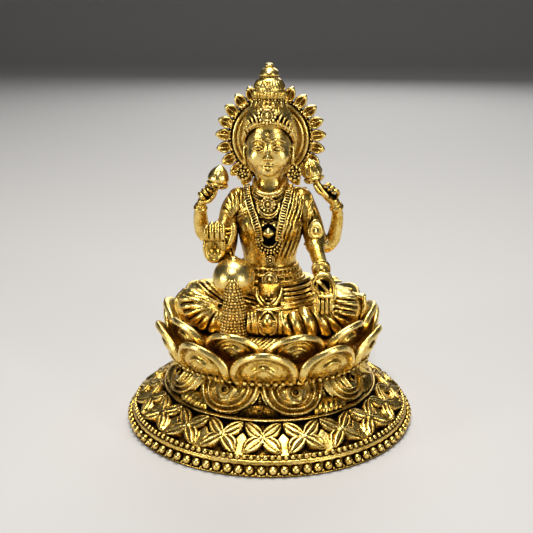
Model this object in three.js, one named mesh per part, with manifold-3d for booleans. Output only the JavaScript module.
// A small cast-metal figure of Lakshmi, seated cross-legged on a lotus that stands on a round beaded foot.
// Millimetres, +Z up, the figure faces -Y, and the origin is the centre of the underside.
// The whole ornament is one casting, so every form below is joined into one solid.
import * as THREE from "three";
import { mergeVertices } from "three/addons/utils/BufferGeometryUtils.js";
import Module from "manifold-3d";

const wasm = await Module();
wasm.setup();

// Round foot
const FOOT_RADIUS = 29.0; // centre line of the large beads
const FOOT_EDGE_HEIGHT = 3.7; // outer edge of the flower band
const BEAD_COUNT = 86;
const BEAD_RADIUS = 0.8;
const PLATE_THICKNESS = 0.6; // plain disc under the beads
const PLATE_LIP = 0.3; // how far the disc stands out beyond the beads' centre line
const BAND_WIDTH = 5.9; // flower band, measured level
const BAND_RISE = 4.0;
const RIM_WIDTH = 1.2; // from the beads' centre line in to the flower band
const FLOWER_COUNT = 20;
const FLOWER_RELIEF = 0.8;
const SHOULDER_RISE = 0.9; // plain slope between the band and the drum
const DRUM_RADIUS = 19.2; // foot of the cone that carries the drooping petals
const DRUM_TOP_RADIUS = 16.8;
const DRUM_TOP = 14.4;

// Lotus
const LOTUS_WAIST_RADIUS = 15.8;
const LOTUS_WAIST_HEIGHT = 13.4;
const SEAT_RADIUS = 17.6;
const SEAT_HEIGHT = 21.2;
const DROOPING_PETALS = 9;
const DROOPING_TURN = THREE.MathUtils.degToRad(17.4); // the first one stands this far round from the front
const DROOPING_REACH = 21.3; // radius of the drooping tips
const DROOPING_TIP_HEIGHT = 8.5;
const OUTER_PETALS = 10;
const OUTER_REACH = 23.2;
const OUTER_TIP_HEIGHT = 22.0;
const INNER_PETALS = 10;
const INNER_REACH = 21.8;
const INNER_TIP_HEIGHT = 24.8;
const PETAL_THICKNESS = 1.4;

// Figure, above the seat. Its proportions are written for a figure 51.4 tall and scaled from that.
const FIGURE_HEIGHT = 51.4;
const FIGURE_SCALE = FIGURE_HEIGHT / 51.4;
const HALO_RADIUS = 8.6; // to the root of the flames
const HALO_FLAMES = 23;
const HALO_FLAME_LENGTH = 2.6;
const HALO_THICKNESS = 1.5;
const POT_RADIUS = 3.8;
const EARRING_RADIUS = 1.6;
const HAIR_LOCKS = 8;

const GOLD = new THREE.MeshStandardMaterial({
  color: 0xb98a34,
  roughness: 0.32,
  metalness: 1.0,
});

const TAU = 2 * Math.PI;
const SIDES = [-1, 1];

// Solids

function solidFrom(vertices, triangles) {
  let volume = 0;
  for (const [a, b, c] of triangles) {
    const [p, q, r] = [vertices[a], vertices[b], vertices[c]];
    volume += p[0] * (q[1] * r[2] - q[2] * r[1]);
    volume -= p[1] * (q[0] * r[2] - q[2] * r[0]);
    volume += p[2] * (q[0] * r[1] - q[1] * r[0]);
  }
  const outward = volume < 0 ? triangles.map(([a, b, c]) => [a, c, b]) : triangles;
  const geometry = new THREE.BufferGeometry();
  geometry.setAttribute("position", new THREE.Float32BufferAttribute(vertices.flat(), 3));
  geometry.setIndex(outward.flat());
  return solidOf(geometry);
}

function solidOf(geometry) {
  const bare = geometry.clone();
  bare.deleteAttribute("normal");
  bare.deleteAttribute("uv");
  const merged = mergeVertices(bare, 1e-4);
  const index = merged.index.array;
  const kept = [];
  for (let i = 0; i < index.length; i += 3) {
    const [a, b, c] = [index[i], index[i + 1], index[i + 2]];
    if (a !== b && b !== c && c !== a) kept.push(a, b, c);
  }
  return new wasm.Manifold(
    new wasm.Mesh({
      numProp: 3,
      vertProperties: new Float32Array(merged.attributes.position.array),
      triVerts: new Uint32Array(kept),
    }),
  );
}

function joined(solids) {
  return solids.reduce((whole, solid) => whole.add(solid));
}

// A closed skin, stitched together from rings of points.
class Skin {
  vertices = [];
  triangles = [];

  ring(points) {
    const start = this.vertices.length;
    this.vertices.push(...points);
    return points.map((_, i) => start + i);
  }

  // Stitch two rings that start at the same angle. Their counts may differ.
  stitch(lower, upper) {
    const [m, n] = [lower.length, upper.length];
    let [i, j] = [0, 0];
    while (i < m || j < n) {
      const [a, b] = [lower[i % m], upper[j % n]];
      if (j === n || (i < m && (i + 1) * n <= (j + 1) * m)) {
        this.triangles.push([a, lower[(i + 1) % m], b]);
        i += 1;
      } else {
        this.triangles.push([a, upper[(j + 1) % n], b]);
        j += 1;
      }
    }
  }

  cap(ring, isLast) {
    const middle = [0, 1, 2].map((k) => {
      const total = ring.reduce((sum, v) => sum + this.vertices[v][k], 0);
      return total / ring.length;
    });
    const [hub] = this.ring([middle]);
    ring.forEach((a, j) => {
      const b = ring[(j + 1) % ring.length];
      this.triangles.push(isLast ? [hub, a, b] : [hub, b, a]);
    });
  }

  solid() {
    return solidFrom(this.vertices, this.triangles);
  }
}

function loft(rings) {
  const skin = new Skin();
  const rows = rings.map((points) => skin.ring(points));
  rows.slice(1).forEach((row, i) => skin.stitch(rows[i], row));
  skin.cap(rows[0], false);
  skin.cap(rows[rows.length - 1], true);
  return skin.solid();
}

// A level oval ring for a loft: centre x, y, height z, half-width and half-depth. A flute raises every second point.
function oval(x, y, z, halfWidth, halfDepth, sides, flute = 0) {
  return Array.from({ length: sides }, (_, i) => {
    const angle = (TAU * (i + 0.5)) / sides;
    const swell = 1 + (i % 2 ? flute : -flute);
    return [x + swell * halfWidth * Math.cos(angle), y + swell * halfDepth * Math.sin(angle), z];
  });
}

// A round limb through stations [x, y, z, radius], with domed ends.
// A flute raises ridges along it, and pleats raise ridges across it.
function limb(stations, { sides = 7, steps = 1, flute = 0, pleat = 0, flatten = 1 } = {}) {
  const curve = new THREE.CatmullRomCurve3(stations.map(([x, y, z]) => new THREE.Vector3(x, y, z)));
  const spans = (stations.length - 1) * steps;
  const up = new THREE.Vector3(0, 0, 1);
  const ringAt = (point, tangent, radius) => {
    const side = new THREE.Vector3().crossVectors(tangent, up);
    if (side.lengthSq() < 0.02) side.set(1, 0, 0);
    side.normalize();
    const lift = new THREE.Vector3().crossVectors(side, tangent).normalize();
    return Array.from({ length: sides }, (_, j) => {
      const angle = (TAU * (j + 0.5)) / sides;
      const swell = radius * (1 + (j % 2 ? flute : -flute));
      const at = point.clone().addScaledVector(side, swell * Math.cos(angle));
      return at.addScaledVector(lift, flatten * swell * Math.sin(angle)).toArray();
    });
  };
  const rings = [];
  for (let i = 0; i <= spans; i++) {
    const at = (i / spans) * (stations.length - 1);
    const low = Math.min(Math.floor(at), stations.length - 2);
    const radius = THREE.MathUtils.lerp(stations[low][3], stations[low + 1][3], at - low);
    const point = curve.getPoint(i / spans);
    const tangent = curve.getTangent(i / spans);
    const dome = tangent.clone().multiplyScalar(0.6 * radius);
    if (i === 0) rings.push(ringAt(point.clone().sub(dome), tangent, 0.6 * radius));
    rings.push(ringAt(point, tangent, radius * (1 + (i % 2 ? pleat : -pleat))));
    if (i === spans) rings.push(ringAt(point.clone().add(dome), tangent, 0.6 * radius));
  }
  return loft(rings);
}

function placed(geometry, [x, y, z], [rx, ry, rz] = [0, 0, 0]) {
  const matrix = new THREE.Matrix4().makeRotationFromEuler(new THREE.Euler(rx, ry, rz));
  matrix.setPosition(x, y, z);
  return solidOf(geometry.clone().applyMatrix4(matrix));
}

function ball(place, [a, b, c], sides = 8, rows = 5, turn = [0, 0, 0]) {
  const geometry = new THREE.SphereGeometry(1, sides, rows);
  geometry.rotateX(Math.PI / 2);
  geometry.scale(a, b, c);
  return placed(geometry, place, turn);
}

function gem(place, [a, b, c], turn = [0, 0, 0]) {
  return placed(new THREE.OctahedronGeometry(1).scale(a, b, c), place, turn);
}

// A profile of [radius, height] turned about the vertical, starting and ending on the axis.
function spun(profile, segments, place = [0, 0, 0], turn = [0, 0, 0]) {
  const points = profile.map(([r, h]) => new THREE.Vector2(r, h));
  const geometry = new THREE.LatheGeometry(points, segments);
  geometry.rotateX(Math.PI / 2);
  return placed(geometry, place, turn);
}

// A round boss that faces the front.
function boss(place, radius, thickness, [tilt, yaw] = [0, 0], sides = 10) {
  const drum = new THREE.CylinderGeometry(radius, 0.7 * radius, thickness, sides);
  return placed(drum, place, [tilt, 0, yaw]);
}

function around(count, start, make) {
  return Array.from({ length: count }, (_, i) => make(start + (TAU * i) / count, i));
}

// A point at radius r and height z. Angle 0 is the front.
function polar(r, angle, z) {
  return [r * Math.sin(angle), -r * Math.cos(angle), z];
}

function level(count, r, z, turn = 0) {
  return around(count, turn, (angle) => polar(r, angle, z));
}

// Round foot, with its beads and flower band

const BAND_OUTER = FOOT_RADIUS - RIM_WIDTH;
const BAND_INNER = BAND_OUTER - BAND_WIDTH;
const BAND_TOP = FOOT_EDGE_HEIGHT + BAND_RISE;

// A point on the band: part goes from its outer edge to its inner edge, and lift stands off it.
function onBand(angle, part, lift) {
  const length = Math.hypot(BAND_RISE, BAND_WIDTH);
  const r = BAND_OUTER - part * BAND_WIDTH + (lift * BAND_RISE) / length;
  const z = FOOT_EDGE_HEIGHT + part * BAND_RISE + (lift * BAND_WIDTH) / length;
  return polar(r, angle, z);
}

function foot() {
  const skin = new Skin();
  const half = Math.PI / BEAD_COUNT;
  const beadHeight = PLATE_THICKNESS + BEAD_RADIUS;
  const underside = skin.ring(level(BEAD_COUNT / 2, FOOT_RADIUS - 0.1, 0));
  const lip = skin.ring(level(BEAD_COUNT / 2, FOOT_RADIUS + PLATE_LIP, 0.45 * PLATE_THICKNESS));
  const below = skin.ring(level(BEAD_COUNT, FOOT_RADIUS, PLATE_THICKNESS));
  const peaks = skin.ring(level(BEAD_COUNT, FOOT_RADIUS + BEAD_RADIUS, beadHeight));
  const dips = skin.ring(level(BEAD_COUNT, FOOT_RADIUS - 0.1, beadHeight, half));
  const above = skin.ring(level(BEAD_COUNT, FOOT_RADIUS - 0.1, beadHeight + BEAD_RADIUS));
  const edge = skin.ring(level(2 * FLOWER_COUNT, FOOT_RADIUS - 0.6, FOOT_EDGE_HEIGHT - 0.4));
  skin.cap(underside, false);
  skin.stitch(underside, lip);
  skin.stitch(lip, below);
  for (let i = 0; i < BEAD_COUNT; i++) {
    const next = (i + 1) % BEAD_COUNT;
    const before = (i + BEAD_COUNT - 1) % BEAD_COUNT;
    skin.triangles.push([below[i], dips[i], peaks[i]]);
    skin.triangles.push([peaks[i], dips[i], above[i]]);
    skin.triangles.push([peaks[i], above[i], dips[before]]);
    skin.triangles.push([below[i], peaks[i], dips[before]]);
    skin.triangles.push([below[i], below[next], dips[i]]);
    skin.triangles.push([dips[i], above[next], above[i]]);
  }
  skin.stitch(above, edge);

  // Each flower has four pointed leaves that reach the corners of its cell.
  const pitch = TAU / FLOWER_COUNT;
  const stand = (i) => (i % 2 ? 0.5 * FLOWER_RELIEF : 0);
  const outer = skin.ring(around(2 * FLOWER_COUNT, 0, (angle, i) => onBand(angle, 0, stand(i))));
  const inner = skin.ring(around(2 * FLOWER_COUNT, 0, (angle, i) => onBand(angle, 1, stand(i))));
  const gaps = skin.ring(around(FLOWER_COUNT, 0.5 * pitch, (angle) => onBand(angle, 0.5, 0)));
  skin.stitch(edge, outer);
  around(FLOWER_COUNT, 0, (angle, i) => {
    const before = (i + FLOWER_COUNT - 1) % FLOWER_COUNT;
    const wrap = (k) => (k + 2 * FLOWER_COUNT) % (2 * FLOWER_COUNT);
    const [centre] = skin.ring([onBand(angle, 0.5, FLOWER_RELIEF)]);
    const corners = [outer[wrap(2 * i + 1)], inner[wrap(2 * i + 1)], inner[wrap(2 * i - 1)], outer[wrap(2 * i - 1)]];
    const sides = [gaps[i], inner[2 * i], gaps[before], outer[2 * i]];
    const reach = [
      [0.22, 0.31],
      [0.22, 0.69],
      [-0.22, 0.69],
      [-0.22, 0.31],
    ];
    const leaves = skin.ring(reach.map(([a, part]) => onBand(angle + a * pitch, part, 0.9 * FLOWER_RELIEF)));
    const valleys = skin.ring([
      onBand(angle + 0.13 * pitch, 0.5, 0),
      onBand(angle, 0.64, 0),
      onBand(angle - 0.13 * pitch, 0.5, 0),
      onBand(angle, 0.36, 0),
    ]);
    for (let k = 0; k < 4; k++) {
      const [left, right] = [(k + 3) % 4, k];
      skin.triangles.push([centre, valleys[left], leaves[k]]);
      skin.triangles.push([leaves[k], valleys[left], corners[k]]);
      skin.triangles.push([centre, leaves[k], valleys[right]]);
      skin.triangles.push([leaves[k], corners[k], valleys[right]]);
      skin.triangles.push([valleys[left], sides[left], corners[k]]);
      skin.triangles.push([valleys[right], corners[k], sides[right]]);
    }
  });

  const crest = skin.ring(level(2 * FLOWER_COUNT, BAND_INNER - 0.2, BAND_TOP + 0.4));
  const slope = skin.ring(level(2 * FLOWER_COUNT, DRUM_RADIUS, BAND_TOP + SHOULDER_RISE));
  const drum = skin.ring(level(2 * FLOWER_COUNT, DRUM_TOP_RADIUS, DRUM_TOP));
  skin.stitch(inner, crest);
  skin.stitch(crest, slope);
  skin.stitch(slope, drum);
  skin.cap(drum, true);
  return skin.solid();
}

// Lotus

// A thick curved petal. Its middle line runs through [radius, height] stations from root to tip, widths gives the
// half-width at each station, and its sides sweep back towards the axis. The shown face is outer or upper.
function petal(angle, line, widths, sweep, shown) {
  const middle = new THREE.SplineCurve(line.map(([r, z]) => new THREE.Vector2(r, z)));
  const rings = line.map((_, i) => {
    const along = i / (line.length - 1);
    const point = middle.getPoint(along);
    const tangent = middle.getTangent(along);
    const at = (across, depth) => {
      const half = across * widths[i];
      const r = point.x - shown * depth * tangent.y - sweep * Math.abs(across * half);
      const z = point.y + shown * depth * tangent.x;
      return [
        half * Math.cos(angle) + r * Math.sin(angle),
        half * Math.sin(angle) - r * Math.cos(angle),
        z,
      ];
    };
    const edge = 0.35 * PETAL_THICKNESS;
    const front = [at(-1, edge), at(-0.55, 0), at(0, 0), at(0.55, 0), at(1, edge)];
    return [...front, at(0, PETAL_THICKNESS)];
  });
  return loft(rings);
}

// A shield-shaped petal that hangs down the face of the cone.
function droopingPetal(angle) {
  const half = (0.84 * Math.PI * DROOPING_REACH) / DROOPING_PETALS;
  const fall = DRUM_TOP - DROOPING_TIP_HEIGHT;
  const reach = DROOPING_REACH - DRUM_TOP_RADIUS;
  const line = [
    [0.1, -0.05],
    [0.6, 0.34],
    [0.88, 0.72],
    [1, 1],
  ].map(([out, down]) => [DRUM_TOP_RADIUS + out * reach, DRUM_TOP - down * fall]);
  const widths = [0.94, 1, 0.84, 0.36].map((w) => w * half);
  return petal(angle, line, widths, 0.36, -1);
}

function risingPetal(angle, count, rootRadius, reach, rootHeight, tipHeight) {
  const half = (0.94 * Math.PI * (reach - 1.8)) / count;
  const line = [
    [-0.16, 0.02],
    [0.52, 0.14],
    [0.84, 0.52],
    [0.88, 0.86],
    [1, 1],
  ].map(([out, up]) => [
    rootRadius + out * (reach - rootRadius),
    rootHeight + up * (tipHeight - rootHeight),
  ]);
  const widths = [0.56, 0.92, 1, 0.74, 0.34].map((w) => w * half);
  return petal(angle, line, widths, 0.26, 1);
}

function lotus() {
  const core = loft([
    level(24, LOTUS_WAIST_RADIUS, LOTUS_WAIST_HEIGHT - 1),
    level(24, SEAT_RADIUS + 0.4, SEAT_HEIGHT - 1.4),
    level(24, SEAT_RADIUS - 0.6, SEAT_HEIGHT),
  ]);
  const outerRoot = LOTUS_WAIST_HEIGHT - 0.4;
  const innerRoot = LOTUS_WAIST_HEIGHT + 4.1;
  return joined([
    core,
    ...around(DROOPING_PETALS, DROOPING_TURN, droopingPetal),
    ...around(OUTER_PETALS, 0, (angle) =>
      risingPetal(angle, OUTER_PETALS, LOTUS_WAIST_RADIUS, OUTER_REACH, outerRoot, OUTER_TIP_HEIGHT),
    ),
    ...around(INNER_PETALS, Math.PI / INNER_PETALS, (angle) =>
      risingPetal(angle, INNER_PETALS, SEAT_RADIUS, INNER_REACH, innerRoot, INNER_TIP_HEIGHT),
    ),
  ]);
}

// Figure. Heights here are above the seat, and lengths are before the figure's scale.

// Crossed legs under the skirt: a fluted thigh out to each knee, and a pleated shin back to the middle.
function leg(side) {
  const thigh = limb(
    [
      [side * 3.5, 1.0, 4.3, 4.7],
      [side * 9.0, -0.4, 4.2, 4.5],
      [side * 13.2, -2.8, 3.9, 4.3],
      [side * 14.6, -4.2, 3.5, 4.0],
    ],
    { sides: 12, flute: 0.08 },
  );
  const shin = limb(
    [
      [side * 14.6, -4.2, 3.0, 3.6],
      [side * 11.6, -7.4, 2.6, 3.3],
      [side * 7.2, -9.7, 2.3, 3.0],
      [side * 1.4, -10.8, 2.0, 2.5],
    ],
    { sides: 7, steps: 3, pleat: 0.1 },
  );
  const ends = [0, 1, 2].map((i) =>
    gem([side * (12.4 + 2.0 * i), -0.6 - 1.1 * i, 7.6 - 1.4 * i], [3.2, 1.6, 1.2], [0, side * 0.2, side * -0.2]),
  );
  const heel = gem([side * 17.4, -3.2, 3.2], [1.7, 2.6, 3.4]);
  return joined([thigh, shin, ...ends, heel]);
}

function skirt() {
  const lap = loft([
    oval(0, -0.6, -0.6, 15.4, 11.0, 16),
    oval(0, -0.5, 1.8, 14.2, 10.6, 16),
    oval(0, -0.2, 3.8, 10.8, 9.8, 16),
    oval(0, 0.0, 6.4, 8.8, 7.8, 16),
    oval(0, 0.2, 8.6, 7.3, 5.7, 16),
  ]);
  const swags = [0, 1].map((i) =>
    limb(
      [
        [-2.6, -7.4 - 1.9 * i, 6.6 - 1.4 * i, 0.7],
        [2.6, -8.0 - 1.9 * i, 6.2 - 1.4 * i, 0.75],
        [8.2, -5.4 - 1.6 * i, 7.2 - 1.3 * i, 0.75],
      ],
      { sides: 5, steps: 2 },
    ),
  );
  return joined([lap, leg(-1), leg(1), ...swags]);
}

function torso() {
  const trunk = loft([
    oval(0, 0.2, 7.0, 7.4, 5.6, 12),
    oval(0, 0.2, 8.0, 7.7, 5.7, 12),
    oval(0, 0.2, 9.0, 7.0, 5.1, 12),
    oval(0, 0.1, 9.8, 7.1, 5.2, 12),
    oval(0, 0.1, 10.6, 6.0, 4.4, 12),
    oval(0, 0.2, 12.4, 5.5, 4.0, 12),
    oval(0, 0.2, 15.6, 6.1, 4.4, 12),
    oval(0, 0.2, 19.6, 7.0, 4.7, 12),
    oval(0, 0.5, 23.4, 7.5, 4.1, 12),
    oval(0, 0.9, 25.4, 6.8, 3.4, 12),
    oval(0, 1.0, 27.2, 4.3, 2.8, 12),
    oval(0, 0.7, 28.6, 2.6, 2.5, 12),
    oval(0, 0.5, 31.5, 2.5, 2.4, 12),
  ]);
  const bust = SIDES.map((side) => ball([side * 3.0, -3.2, 19.9], [2.7, 2.3, 2.5]));
  return joined([trunk, ...bust]);
}

// The end of the sari: a fluted sash from the left shoulder across the chest, and its fall down the back.
function sash() {
  const front = limb(
    [
      [5.7, -0.8, 27.0, 1.6],
      [5.5, -3.4, 23.0, 1.9],
      [4.4, -4.2, 17.8, 1.9],
      [2.4, -4.0, 13.0, 1.7],
      [-2.0, -3.4, 9.8, 1.3],
    ],
    { sides: 8, flute: 0.08 },
  );
  const back = limb(
    [
      [5.6, 1.4, 27.2, 1.5],
      [5.0, 4.0, 22.4, 1.8],
      [3.4, 4.6, 15.4, 1.9],
      [1.6, 6.4, 8.0, 2.3],
    ],
    { sides: 8, flute: 0.08 },
  );
  return joined([front, back]);
}

function necklaces() {
  const long = limb(
    [
      [-3.9, -0.4, 27.2, 0.75],
      [-4.3, -4.3, 22.6, 0.85],
      [-2.9, -5.5, 17.4, 0.8],
      [-0.2, -5.0, 13.4, 0.8],
      [2.4, -5.5, 17.4, 0.8],
      [3.7, -4.3, 22.6, 0.85],
      [3.5, -0.4, 27.2, 0.75],
    ],
    { sides: 5 },
  );
  const short = limb(
    [
      [-2.9, 0.0, 28.2, 0.5],
      [-1.9, -2.8, 26.4, 0.5],
      [0, -3.8, 25.4, 0.5],
      [1.9, -2.8, 26.4, 0.5],
      [2.9, 0.0, 28.2, 0.5],
    ],
    { sides: 5 },
  );
  return joined([
    long,
    short,
    boss([0, -4.2, 22.9], 1.7, 2.2, [-0.15, 0]),
    gem([0, -4.9, 17.6], [1.4, 1.0, 1.4]),
    gem([0, -5.2, 11.8], [0.9, 0.9, 1.1]),
  ]);
}

// Ornaments down the middle of the lap: buckle, apron and hem jewel.
function apron() {
  const tongue = loft([
    oval(0.3, -6.0, 9.4, 2.5, 1.4, 8),
    oval(0.3, -7.6, 8.6, 2.8, 1.5, 8),
    oval(0.3, -9.4, 6.8, 2.2, 1.6, 8),
    oval(0.3, -10.4, 5.6, 1.2, 1.2, 8),
  ]);
  return joined([
    boss([0.3, -5.9, 10.2], 1.7, 1.6, [-0.15, 0]),
    tongue,
    ball([0.3, -12.7, 3.1], [2.1, 1.4, 2.4], 8, 5, [-0.3, 0, 0]),
  ]);
}

function head() {
  const skull = ball([-0.1, -0.6, 35.6], [4.8, 4.7, 5.4], 12, 8);
  const jaw = ball([-0.1, -2.1, 33.1], [3.8, 3.3, 3.2], 10, 6);
  const nose = limb(
    [
      [-0.1, -5.0, 36.0, 0.35],
      [-0.1, -5.7, 34.0, 0.6],
    ],
    { sides: 5 },
  );
  const lips = gem([-0.1, -5.3, 32.5], [1.2, 0.5, 0.45]);
  const eyes = SIDES.map((side) => gem([side * 1.8 - 0.1, -4.8, 35.6], [1.05, 0.55, 0.5]));
  const band = limb(
    [
      [-5.0, -1.2, 36.8, 0.5],
      [-3.8, -3.9, 39.5, 0.5],
      [-0.1, -5.5, 40.7, 0.5],
      [3.6, -3.9, 39.5, 0.5],
      [4.8, -1.2, 36.8, 0.5],
    ],
    { sides: 5 },
  );
  const hair = loft([
    oval(-0.1, 1.6, 30.6, 2.6, 2.4, 2 * HAIR_LOCKS, 0.04),
    oval(-0.1, 1.6, 33.0, 4.6, 3.7, 2 * HAIR_LOCKS, 0.04),
    oval(-0.1, 1.0, 37.6, 5.2, 4.6, 2 * HAIR_LOCKS, 0.04),
    oval(-0.1, 0.2, 40.6, 4.9, 4.6, 2 * HAIR_LOCKS, 0.04),
    oval(-0.1, 0.3, 42.6, 3.6, 3.6, 2 * HAIR_LOCKS, 0.04),
  ]);
  return joined([skull, jaw, nose, lips, ...eyes, band, hair]);
}

function crown() {
  const tiers = spun(
    [
      [0, 41.0],
      [3.9, 41.4],
      [3.8, 42.6],
      [3.1, 44.4],
      [3.2, 45.0],
      [3.1, 46.4],
      [2.7, 47.6],
      [1.75, 48.7],
      [1.95, 49.2],
      [1.4, 50.2],
      [0.75, 50.7],
      [0.65, 51.15],
      [0, 51.4],
    ],
    12,
    [-0.1, 0.3, 0],
  );
  return joined([tiers, boss([-0.1, -4.4, 42.2], 1.7, 2.2, [-0.15, 0])]);
}

// A studded disc hung from the ear, close against the side of the neck.
function earring(side) {
  const ear = gem([side * 4.5 - 0.1, -0.8, 32.6], [0.9, 1.3, 3.2], [0, side * -0.12, 0]);
  return ear.add(boss([side * 4.8 - 0.1, -1.6, 30.4], EARRING_RADIUS / FIGURE_SCALE, 1.4, [0, side * 0.25]));
}

// A dished disc behind the head, with a raised ring and a rim of pointed flames, one of them at the top.
function halo() {
  const skin = new Skin();
  const place = (turn, r, forward) =>
    around(HALO_FLAMES, turn, (angle) => [
      r * Math.sin(angle) - 0.1,
      5.4 - forward,
      36.1 + r * Math.cos(angle),
    ]);
  const half = Math.PI / HALO_FLAMES;
  const thick = HALO_THICKNESS / FIGURE_SCALE;
  const radius = HALO_RADIUS / FIGURE_SCALE;
  const flame = HALO_FLAME_LENGTH / FIGURE_SCALE;
  const dish = skin.ring(place(-half, radius - 2.1, 0.3 * thick));
  const moulding = skin.ring(place(-half, radius - 1.3, 0.6 * thick));
  const groove = skin.ring(place(-half, radius - 0.6, 0.3 * thick));
  const roots = skin.ring(place(-half, radius, 0));
  const crests = skin.ring(place(0, radius + 0.3 * flame, 0.5 * thick));
  const tips = skin.ring(place(0, radius + flame, 0));
  const back = skin.ring(place(-half, radius - 0.6, -0.45 * thick));
  skin.cap(dish, false);
  skin.stitch(dish, moulding);
  skin.stitch(moulding, groove);
  for (let i = 0; i < HALO_FLAMES; i++) {
    const next = (i + 1) % HALO_FLAMES;
    skin.triangles.push([groove[i], groove[next], crests[i]]);
    skin.triangles.push([groove[i], crests[i], roots[i]]);
    skin.triangles.push([groove[next], roots[next], crests[i]]);
    skin.triangles.push([roots[i], crests[i], tips[i]]);
    skin.triangles.push([roots[next], tips[i], crests[i]]);
    skin.triangles.push([roots[i], tips[i], back[i]]);
    skin.triangles.push([tips[i], back[next], back[i]]);
    skin.triangles.push([tips[i], roots[next], back[next]]);
  }
  skin.cap(back, true);
  return skin.solid();
}

function finger(root, tip, radius) {
  return limb([[...root, 1.1 * radius], [...tip, 0.9 * radius]], { sides: 4 });
}

// The right front hand is raised, palm forward.
function raisedArm() {
  const sleeve = limb(
    [
      [-6.3, 0.8, 24.7, 2.3],
      [-7.4, 0.6, 22.4, 2.5],
      [-8.1, 0.4, 19.8, 2.4],
    ],
    { sides: 8, flute: 0.05 },
  );
  const arm = limb([
    [-8.0, 0.2, 19.4, 1.9],
    [-8.0, -0.6, 16.4, 1.7],
    [-8.6, -3.0, 14.4, 1.6],
    [-10.2, -5.4, 14.6, 1.4],
  ]);
  const palm = loft([
    oval(-10.4, -5.5, 13.2, 1.5, 1.1, 7),
    oval(-10.4, -5.9, 14.6, 2.2, 1.4, 7),
    oval(-10.4, -6.0, 17.8, 2.4, 1.3, 7),
    oval(-10.4, -6.1, 19.2, 2.1, 0.9, 7),
  ]);
  const fingers = [-1.5, -0.5, 0.5, 1.45].map((x, i) =>
    finger([-10.4 + x, -6.2, 18.8], [-10.4 + x, -6.2, 20.6 + 0.6 * (i % 3 ? 1 : 0)], 0.58),
  );
  const thumb = limb([[-8.5, -5.9, 15.6, 0.9], [-7.5, -6.1, 17.2, 0.8], [-6.8, -6.2, 20.6, 0.65]], { sides: 5 });
  return joined([sleeve, arm, palm, ...fingers, thumb]);
}

// The left front hand rests on the knee, palm forward and fingers down.
function restingArm() {
  const arm = limb([
    [6.4, 0.8, 24.9, 2.4],
    [7.9, 0.2, 20.8, 2.4],
    [9.1, -1.4, 17.0, 2.2],
    [9.6, -4.2, 15.0, 1.7],
    [10.2, -7.2, 13.6, 1.5],
    [10.5, -9.4, 12.8, 1.6],
  ]);
  const armlet = gem([9.6, -3.2, 19.6], [1.5, 1.0, 1.9]);
  const palm = loft([
    oval(10.7, -10.2, 13.2, 1.4, 1.2, 7),
    oval(10.8, -10.8, 12.2, 2.1, 1.5, 7),
    oval(11.0, -11.4, 9.6, 2.2, 1.4, 7),
    oval(11.1, -11.8, 8.4, 1.9, 1.2, 7),
  ]);
  const fingers = [-1.35, -0.45, 0.45, 1.35].map((x, i) =>
    finger([11.1 + 0.85 * x, -12.1, 8.8], [11.25 + 0.85 * x, -12.6, 5.7 + 0.4 * (i % 3 ? 0 : 1)], 0.5),
  );
  const rest = gem([11.2, -9.8, 7.4], [1.8, 2.4, 3.0]);
  return joined([arm, armlet, palm, rest, ...fingers]);
}

// A raised rear arm with a cuff, whose hand closes round the stem of a lotus bud.
function rearArm(stations, fistPlace, budPlace, lean) {
  const arm = limb(stations);
  const fist = ball(fistPlace, [1.9, 1.5, 1.9], 7, 5);
  const middle = fistPlace.map((value, k) => 0.5 * (value + budPlace[k]));
  const side = Math.sign(fistPlace[0]);
  const stem = gem(middle, [1.0, 1.0, 2.6], [0, side * -0.7, 0]);
  const bud = spun(
    [
      [0, -0.9],
      [1.6, -0.8],
      [2.1, 0],
      [2.1, 1.0],
      [1.5, 2.5],
      [0, 3.7],
    ],
    8,
    budPlace,
    [0, lean, 0],
  );
  return joined([arm, fist, stem, bud]);
}

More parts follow.
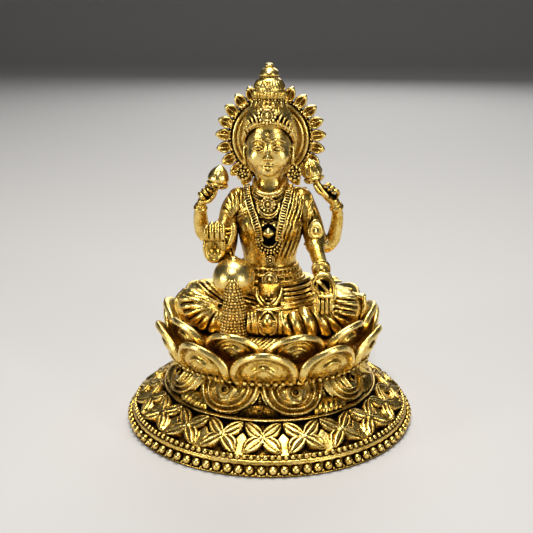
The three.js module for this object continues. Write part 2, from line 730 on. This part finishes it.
function rearArms() {
  const right = rearArm(
    [
      [-5.8, 2.2, 24.2, 2.1],
      [-9.4, 3.6, 18.6, 1.8],
      [-12.0, 4.4, 15.6, 1.7],
      [-14.0, 4.3, 17.4, 1.7],
      [-14.3, 3.3, 20.4, 1.45],
      [-14.2, 2.7, 22.2, 1.6],
      [-13.8, 2.3, 23.6, 1.1],
    ],
    [-12.8, 1.6, 25.2],
    [-10.4, 0.8, 27.7],
    0.19,
  );
  const left = rearArm(
    [
      [5.8, 2.2, 24.2, 2.1],
      [8.8, 3.4, 18.0, 1.8],
      [11.2, 4.2, 14.5, 1.7],
      [12.9, 4.3, 16.4, 1.6],
      [13.6, 3.7, 20.4, 1.3],
      [13.3, 2.8, 22.8, 1.6],
      [12.7, 2.4, 24.2, 1.1],
    ],
    [11.9, 1.6, 26.0],
    [8.6, 0.8, 29.1],
    -0.27,
  );
  return left.add(right);
}

// The pot on the right knee, and the coins that pour from its mouth down to the seat.
function potOfCoins() {
  const radius = POT_RADIUS / FIGURE_SCALE;
  const pot = ball([-6.7, -9.1, 10.9], [radius, radius, radius], 12, 8);
  const stream = loft([
    oval(-6.5, -11.9, 11.4, 0.8, 0.9, 8),
    oval(-6.4, -11.8, 10.2, 1.6, 1.4, 8),
    oval(-6.2, -11.7, 6.2, 2.2, 1.9, 8),
    oval(-6.3, -11.8, -0.5, 2.9, 2.3, 8),
  ]);
  const knob = ball([-6.7, -9.1, 10.7 + radius], [0.75, 0.75, 0.6], 6, 4);
  return joined([pot, stream, knob]);
}

function figure() {
  const body = joined([
    skirt(),
    torso(),
    sash(),
    necklaces(),
    apron(),
    head(),
    crown(),
    earring(-1),
    earring(1),
    halo(),
    raisedArm(),
    restingArm(),
    rearArms(),
    potOfCoins(),
  ]);
  return body.scale([FIGURE_SCALE, FIGURE_SCALE, FIGURE_SCALE]).translate([0, 0, SEAT_HEIGHT]);
}

function meshOf(solid, name) {
  const { vertProperties, triVerts } = solid.getMesh();
  const geometry = new THREE.BufferGeometry();
  geometry.setAttribute("position", new THREE.BufferAttribute(vertProperties, 3));
  geometry.setIndex(new THREE.BufferAttribute(triVerts, 1));
  geometry.computeVertexNormals();
  const mesh = new THREE.Mesh(geometry, GOLD);
  mesh.name = name;
  return mesh;
}

const casting = joined([foot(), lotus(), figure()]);

const ornament = new THREE.Group();
ornament.add(meshOf(casting, "lakshmi_on_lotus"));

export default ornament;
